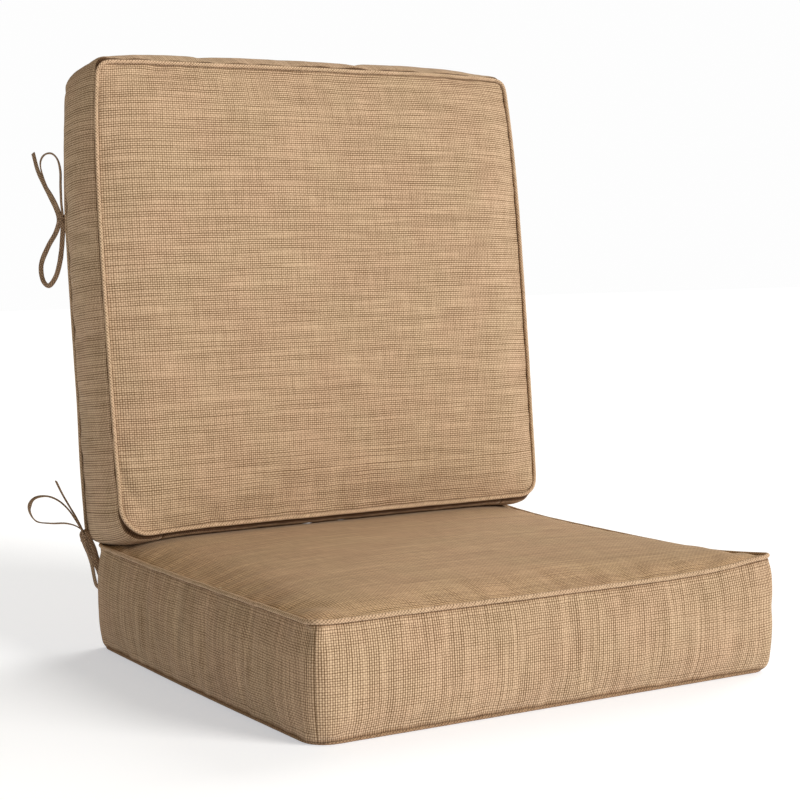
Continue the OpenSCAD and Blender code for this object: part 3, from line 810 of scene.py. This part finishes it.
def cover_object(skin, form, hold):
    """The cover as one mesh, swollen, smoothed and puckered, with its kinds and seam gaps."""
    c = skin.c
    obj = add_object(c.name + "_cover", form(skin), skin.faces, skin.uvs)
    kind = obj.data.attributes.new("kind", "INT", "FACE")
    kind.data.foreach_set("value", skin.kinds)
    flat = obj.data.attributes.new("flat", "FLOAT_VECTOR", "POINT")
    flat.data.foreach_set("vector", skin.base.ravel())
    simulate(obj, hold(skin))
    crease = obj.data.attributes.new("crease_edge", "FLOAT", "EDGE")
    seams = {tuple(sorted(s)) for s in skin.seams}
    crease.data.foreach_set("value", [float(tuple(sorted(e.vertices)) in seams) for e in obj.data.edges])
    smooth = obj.modifiers.new("smooth", "SUBSURF")
    smooth.levels = smooth.render_levels = 1
    smooth.uv_smooth = "NONE"
    apply_modifiers(obj)
    plan = read(obj.data.attributes["flat"].data, "vector", 3)
    side = np.minimum(c.half_w - np.abs(plan[:, 0]), c.half_d - np.abs(plan[:, 1]))
    drop = np.minimum(plan[:, 2] - c.low_seam, c.high_seam - plan[:, 2])
    gap = np.maximum(np.maximum(side, drop), 0)
    normals, seed = read(obj.data.vertices, "normal", 3), 3.0 if c.name == "seat" else 8.0
    moved = pucker(points_of(obj), normals, gap, 1.5 * MM, seed)
    if c.name == "seat":
        moved[:, 2] = np.maximum(moved[:, 2], 0)
    set_points(obj, moved)
    mark(obj, gap)
    return obj, plan


def cut_piece(cover, plan, name, keep, material, body, node):
    """One piece of the cover, as wide as its cloth, with the cloth's thickness inside."""
    mesh = cover.data
    kinds = read(mesh.attributes["kind"].data, "value", kind=int)
    uv = read(mesh.uv_layers["cloth"].data, "uv", 2)
    gap = read(mesh.attributes["seam_gap"].data, "value")
    ids, faces, uvs = {}, [], []
    for poly in mesh.polygons:
        corners = list(poly.vertices)
        if not keep(kinds[poly.index], plan[corners].mean(0)):
            continue
        faces.append([ids.setdefault(i, len(ids)) for i in corners])
        uvs += [uv[k] for k in poly.loop_indices]
    order = np.array(list(ids))
    piece = add_object(name, points_of(cover)[order], faces, uvs, material)
    mark(piece, gap[order])
    thick = piece.modifiers.new("thickness", "SOLIDIFY")
    thick.thickness = CLOTH
    thick.offset = -1
    apply_modifiers(piece)
    piece.data.transform(body_place(cover))
    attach(piece, body)
    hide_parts(node)


def body_place(cover):
    return seat.place if cover.name.startswith("seat") else back.place


def seam_loop(cover, kind):
    """The points of the seam round one face, in order, with the two directions beside it."""
    mesh = cover.data
    kinds = read(mesh.attributes["kind"].data, "value", kind=int)
    beside = {}
    for poly in mesh.polygons:
        for key in poly.edge_keys:
            beside.setdefault(key, []).append(poly.index)
    follow, face_dir, ring_dir = {}, {}, {}
    for key, polys in beside.items():
        pair = sorted(kinds[i] for i in polys)
        if pair == sorted((kind, 2)):
            for a, b in (key, key[::-1]):
                follow.setdefault(a, []).append(b)
            for i in polys:
                store = face_dir if kinds[i] == kind else ring_dir
                for a in key:
                    store.setdefault(a, []).append(np.array(mesh.polygons[i].normal))
    start = min(follow)
    loop, last = [start], None
    while True:
        step = [n for n in follow[loop[-1]] if n != last]
        last = loop[-1]
        if step[0] == start:
            break
        loop.append(step[0])
    points = points_of(cover)[loop]
    face = unit(np.array([np.mean(face_dir[i], axis=0) for i in loop]))
    ring = unit(np.array([np.mean(ring_dir[i], axis=0) for i in loop]))
    return points, face, ring


def evened(loop, values, spacing):
    """Re-spaces a closed loop evenly, with the values that go with its points."""
    closed = np.vstack([loop, loop[:1]])
    along = np.concatenate([[0], np.cumsum(np.linalg.norm(np.diff(closed, axis=0), axis=1))])
    at = np.linspace(0, along[-1], round(along[-1] / spacing), endpoint=False)
    made = []
    for data in (loop, *values):
        data = np.vstack([data, data[:1]])
        made.append(np.stack([np.interp(at, along, data[:, k]) for k in range(3)], axis=1))
    return made


def eased(values, passes):
    """Smooths the values round a closed loop."""
    for _ in range(passes):
        values = (np.roll(values, 1, axis=0) + 2 * values + np.roll(values, -1, axis=0)) / 4
    return values


def add_welt(cover, kind, name, body, tilt, pressed=False):
    """The covered cord in the seam round one face, and the cord inside it. It stands out from the seam, unless it
    is pressed in, and tilt turns it towards the face. A pressed welt is painted dark all over with the cloth's
    seam shade, as shade under the boxing."""
    # shaded is the seam gap the welt is marked with: 0 for a pressed welt, so its cloth takes the full painted
    # seam shade, and 5 mm for the others, which leaves them unshaded
    radius, stand, shaded = (2.0 * MM, 0.0, 0.0) if pressed else (WELT_R, WELT_R - 0.3 * MM, 5 * MM)
    points, face, ring = seam_loop(cover, kind)
    line, face, ring = evened(points, (face, ring), 4 * MM)
    line, face, ring = eased(line, 4), eased(face, 12), eased(ring, 12)
    out = unit(ring + tilt * face)
    line = line + out * stand
    if cover.name.startswith("seat"):
        line[:, 2] = np.maximum(line[:, 2], 1.05 * radius)
    place = body_place(cover)
    turn = np.array(place.to_3x3())
    line = line @ turn.T + np.array(place.translation)
    out = unit(out) @ turn.T
    lumps = np.array([1 + 0.05 * noise.noise(Vector(p) * 70) for p in line])
    welt = sweep(name + "_cover_tube", line, out, circle_profile(radius, 12), True, welt_cloth, lumps)
    inner = sweep(name + "_cord_core", line, out, circle_profile(0.6 * radius, 8), True, fibre_look)
    for obj, part, slot in ((welt, "cover", "welt_cloth"), (inner, "cord", "fibre")):
        mark(obj, [shaded] * len(obj.data.vertices))
        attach(obj, body)
        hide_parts(f"{name}_{part}")


def hold_seat(skin):
    """How firmly each point is held while the cover swells: 1 doesn't move."""
    p, c = skin.base, skin.c
    pins = np.full(len(p), 0.04)
    rear = (skin.kind_of_point == 2) & (p[:, 1] > c.half_d - 1 * MM) & (np.abs(p[:, 0]) < JOIN_X + 20 * MM)
    pins[rear | (skin.kind_of_point == 0) | skin.on_rim] = 1
    return pins


def hold_back(skin):
    p = skin.base
    pins = np.full(len(p), 0.04)
    zipped = (skin.kind_of_point == 0) & (np.abs(p[:, 1] - BACK_ZIP_Y) < 32 * MM)
    foot = (skin.kind_of_point == 2) & (p[:, 1] < -skin.c.half_d + 1 * MM)
    pins[zipped | foot | skin.on_rim] = 1
    return pins


seat_skin = Skin(seat, x_marks=(-JOIN_X, JOIN_X), z_marks=(SEAT_ZIP_Z - SLOT, SEAT_ZIP_Z + SLOT))
seat_cover, seat_plan = cover_object(seat_skin, seat_form, hold_seat)
back_skin = Skin(back, x_marks=(-BACK_JOIN_X, BACK_JOIN_X),
                 y_marks=(BACK_ZIP_Y - SLOT, BACK_ZIP_Y, BACK_ZIP_Y + SLOT))
back_cover, back_plan = cover_object(back_skin, back_form, hold_back)


def on_seat_rear(kind, p):
    return kind == 2 and p[1] > seat.half_d - 1 * MM and abs(p[0]) < JOIN_X


def on_back_foot(kind, p):
    return kind == 2 and p[1] < -back.half_d + 1 * MM and abs(p[0]) < BACK_JOIN_X


def in_back_slot(p):
    return abs(p[0]) < BACK_JOIN_X and abs(p[1] - BACK_ZIP_Y) < SLOT


PANEL, BOXING = "panel_cloth", "boxing_cloth"
for piece, keep, look, slot, node in (
    ("seat_top_cloth", lambda k, p: k == 1, seat_panel_cloth_painted_shade, PANEL, "seat_top_panel"),
    ("seat_bottom_cloth", lambda k, p: k == 0, seat_panel_cloth_painted_shade, PANEL, "seat_bottom_panel"),
    ("seat_boxing_cloth", lambda k, p: k == 2 and not on_seat_rear(k, p), seat_boxing_cloth, BOXING,
     "seat_main_boxing"),
    ("seat_zip_strip_upper", lambda k, p: on_seat_rear(k, p) and p[2] > SEAT_ZIP_Z + SLOT,
     seat_boxing_cloth, BOXING, "seat_zip_boxing_upper"),
    ("seat_zip_strip_lower", lambda k, p: on_seat_rear(k, p) and p[2] < SEAT_ZIP_Z - SLOT,
     seat_boxing_cloth, BOXING, "seat_zip_boxing_lower"),
    ("back_front_cloth", lambda k, p: k == 1, back_panel_cloth, PANEL, "back_front_panel"),
    ("back_rear_cloth_upper", lambda k, p: k == 0 and p[1] > BACK_ZIP_Y and not in_back_slot(p),
     back_panel_cloth, PANEL, "back_rear_upper_panel"),
    ("back_rear_cloth_lower", lambda k, p: k == 0 and p[1] < BACK_ZIP_Y and not in_back_slot(p),
     back_panel_cloth, PANEL, "back_rear_lower_panel"),
    ("back_boxing_cloth", lambda k, p: k == 2 and not on_back_foot(k, p), back_boxing_cloth, BOXING,
     "back_main_boxing"),
    ("back_foot_cloth", on_back_foot, back_boxing_cloth, BOXING, "back_bottom_boxing"),
):
    if piece.startswith("seat"):
        cut_piece(seat_cover, seat_plan, piece, keep, look, "seat_cushion", node)
    else:
        cut_piece(back_cover, back_plan, piece, keep, look, "back_cushion", node)

add_welt(seat_cover, 1, "seat_top_welt", "seat_cushion", 1.3)
# the seat's weight presses its bottom welt in under the boxing, where it is painted dark as shade
add_welt(seat_cover, 0, "seat_bottom_welt", "seat_cushion", 3.0, pressed=True)
add_welt(back_cover, 1, "back_front_welt", "back_cushion", 2.5)
add_welt(back_cover, 0, "back_rear_welt", "back_cushion", 1.4)
for cover in (seat_cover, back_cover):
    bpy.data.objects.remove(cover)

# ---------------- filling


def place_piece(obj, place, body, slot, *nodes):
    """Puts a piece made in its own coordinates in its place, on its body."""
    obj.data.transform(place)
    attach(obj, body)
    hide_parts(*nodes)


def inset(points, c, by):
    """Points of a cushion's form, drawn in towards its middle."""
    centre = np.array((0, 0, (c.low_seam + c.high_seam) / 2))
    half = np.array((c.half_w, c.half_d, centre[2]))
    return centre + (points - centre) * (half - by) / half


def add_filling(skin, form, body):
    """The foam core, and the fibre sleeve round it, open at the two sides."""
    c = skin.c
    low, high = extents(c.name + "_foam_core", c.place)
    build = bmesh.new()
    bmesh.ops.create_cube(build, size=1)
    for v in build.verts:
        v.co = Vector([low[k] + (v.co[k] + 0.5) * (high[k] - low[k]) for k in range(3)])
    bmesh.ops.bevel(build, geom=build.edges[:], offset=5 * MM, segments=3, profile=0.5, affect="EDGES")
    mesh = bpy.data.meshes.new(c.name + "_foam_slab")
    build.to_mesh(mesh)
    build.free()
    mesh.materials.append(foam_look)
    foam = bpy.data.objects.new(c.name + "_foam_slab", mesh)
    bpy.context.scene.collection.objects.link(foam)
    place_piece(foam, c.place, body, "foam", c.name + "_foam_core")

    points = inset(form(skin), c, 5.5 * MM)
    fluff = np.array([noise.noise(Vector(p) * 45) for p in points])
    points -= unit(points - points.mean(0)) * (0.8 * MM * (1 + fluff))[:, None]
    on_side = np.abs(skin.base[:, 0]) > c.half_w - 1e-6
    ids, faces = {}, []
    for face, kind in zip(skin.faces, skin.kinds):
        if kind == 2 and on_side[face].all():
            continue
        faces.append([ids.setdefault(i, len(ids)) for i in face])
    sleeve = add_object(c.name + "_fibre_sleeve", points[list(ids)], faces, material=fibre_look)
    thick = sleeve.modifiers.new("thickness", "SOLIDIFY")
    thick.thickness = 11 * MM
    thick.offset = -1
    apply_modifiers(sleeve)
    place_piece(sleeve, c.place, body, "fibre", c.name + "_fibre_wrap")


add_filling(seat_skin, seat_form, "seat_cushion")
add_filling(back_skin, back_form, "back_cushion")

# ---------------- zips

PITCH = 2 * MM               # from one coil turn to the next
WIRE_R = 0.34 * MM
STITCH = 4 * MM              # from one stitch to the next
STITCH_LINES = (SLOT + 1.8 * MM, SLOT + 6.5 * MM)


def add_tape(name, place, body):
    """One half of the zip's woven tape."""
    low, high = extents(name, place)
    ends = np.linspace(low[0], high[0], 80)
    middle = (low + high) / 2
    line = np.stack([ends, np.full(80, middle[1]), np.full(80, middle[2])], axis=1)
    w, t = (high[1] - low[1]) / 2, (high[2] - low[2]) / 2
    profile = [(w, -0.6 * t), (w, 0.6 * t), (w - 0.4 * MM, t), (0, t), (0.4 * MM - w, t), (-w, 0.6 * t),
               (-w, -0.6 * t), (0.4 * MM - w, -t), (0, -t), (w - 0.4 * MM, -t)]
    tape = sweep(name + "_strip", line, np.tile((0.0, 1.0, 0.0), (80, 1)), profile, material=tape_look)
    place_piece(tape, place, body, "zip_tape", name)


def add_coil(name, place, body, phase):
    """One half of the nylon coil, with all its turns."""
    low, high = extents(name, place)
    y, z = (low[1] + high[1]) / 2, (low[2] + high[2]) / 2
    r = (high[1] - low[1]) / 2 - WIRE_R
    count = int((high[0] - low[0] - 2 * WIRE_R) / PITCH)
    turn = np.arange(count * 10 + 1) / 10 * math.tau + phase
    x = low[0] + WIRE_R + (turn - phase) / math.tau * PITCH
    out = np.stack([np.zeros(len(turn)), np.cos(turn), np.sin(turn)], axis=1)
    line = np.stack([x, y + r * out[:, 1], z + r * out[:, 2]], axis=1)
    coil = sweep(name + "_turns", line, out, circle_profile(WIRE_R, 6), material=coil_look)
    place_piece(coil, place, body, "zip_coil", name)


def add_stitches(name, place, body, zip_half):
    """Two rows of thread on each side of the opening, and a bar tack at each end."""
    rows = []
    for y in STITCH_LINES:
        for side in (-1, 1):
            rows += [(x, side * y, 0.0) for x in np.arange(STITCH / 2 - zip_half, zip_half, STITCH)]
    for end in (-1, 1):
        for k in range(9):
            rows.append((end * (zip_half - 4 * MM), (k - 4) * 1.3 * MM, 0.0))
    ring = circle_profile(0.33 * MM, 6)
    shape = [(x, y * size, z * size + lift) for x, size, lift in (
        (-1.6 * MM, 0.3, -0.1 * MM), (-1.1 * MM, 0.9, 0.15 * MM), (0, 1.0, 0.25 * MM),
        (1.1 * MM, 0.9, 0.15 * MM), (1.6 * MM, 0.3, -0.1 * MM)) for y, z in ring]
    sides = [(6 * i + k, 6 * i + (k + 1) % 6, 6 * i + 6 + (k + 1) % 6, 6 * i + 6 + k)
             for i in range(4) for k in range(6)] + [tuple(range(5, -1, -1)), tuple(range(24, 30))]
    points = (np.array(rows)[:, None] + np.array(shape)[None]).reshape(-1, 3)
    faces = [[30 * m + i for i in f] for m in range(len(rows)) for f in sides]
    thread = add_object(name, points, faces, material=thread_look)
    place_piece(thread, place, body, "zip_tape")


for name, place, half in (("seat", SEAT_ZIP, seat.zip_half), ("back", BACK_ZIP, back.zip_half)):
    body = name + "_cushion"
    for side, phase in (("upper", 0.0), ("lower", math.pi)):
        add_tape(f"{name}_zip_tape_{side}", place, body)
        add_coil(f"{name}_zip_coil_{side}", place, body, phase)
    add_stitches(f"{name}_zip_stitching", place, body, half)

for name, node in frame["nodes"].items():
    if "zip_slider" in name or "zip_pull" in name or "zip_stops" in name:
        node.data.materials.clear()
        node.data.materials.append(metal_look)

# ---------------- floor and light


def white_material():
    n = Nodes("studio_floor")
    where = n.node("TexCoord", output=3)
    n.set(Base_Color=n.mix(n.noise(where, 3.0, 2.0), (0.77, 0.77, 0.77), (0.79, 0.79, 0.79)), Roughness=0.9)
    n.shader.inputs["Emission Color"].default_value = (0.91, 0.99, 1.12, 1)
    n.shader.inputs["Emission Strength"].default_value = 0.40
    return n.material


def add_sun(name, towards, spread, strength, colour):
    """A soft, distant light that comes from the given direction."""
    light = bpy.data.objects.new(name, bpy.data.lights.new(name, "SUN"))
    bpy.context.scene.collection.objects.link(light)
    light.data.energy = strength
    light.data.color = colour
    light.data.angle = math.radians(spread)
    light.rotation_euler = (-Vector(towards)).to_track_quat("-Z", "Y").to_euler()


floor = add_object("floor", [(-12, -12, 0), (12, -12, 0), (12, 12, 0), (-12, 12, 0)], [(0, 1, 2, 3)],
                   material=white_material())


def add_sky(white, glow, strength):
    """A white background, and a softer, warmer light from all round."""
    world = bpy.data.worlds.new("studio")
    bpy.context.scene.world = world
    world.use_nodes = True
    nodes, links = world.node_tree.nodes, world.node_tree.links
    light = nodes["Background"]
    light.inputs[0].default_value = (*glow, 1)
    light.inputs[1].default_value = strength
    seen = nodes.new("ShaderNodeBackground")
    seen.inputs[0].default_value = (*white, 1)
    path, mix = nodes.new("ShaderNodeLightPath"), nodes.new("ShaderNodeMixShader")
    links.new(path.outputs["Is Camera Ray"], mix.inputs[0])
    links.new(light.outputs[0], mix.inputs[1])
    links.new(seen.outputs[0], mix.inputs[2])
    links.new(mix.outputs[0], nodes["World Output"].inputs[0])


add_sky((0.985, 0.985, 0.985), (1.0, 0.86, 0.62), 0.34)
bpy.context.scene.view_settings.view_transform = "Standard"
add_sun("key", (0.46, -0.82, 0.38), 28, 3.2, (1.0, 0.98, 0.95))
add_sun("rim", (0.80, 0.38, 0.50), 40, 1.5, (1.0, 1.0, 1.0))
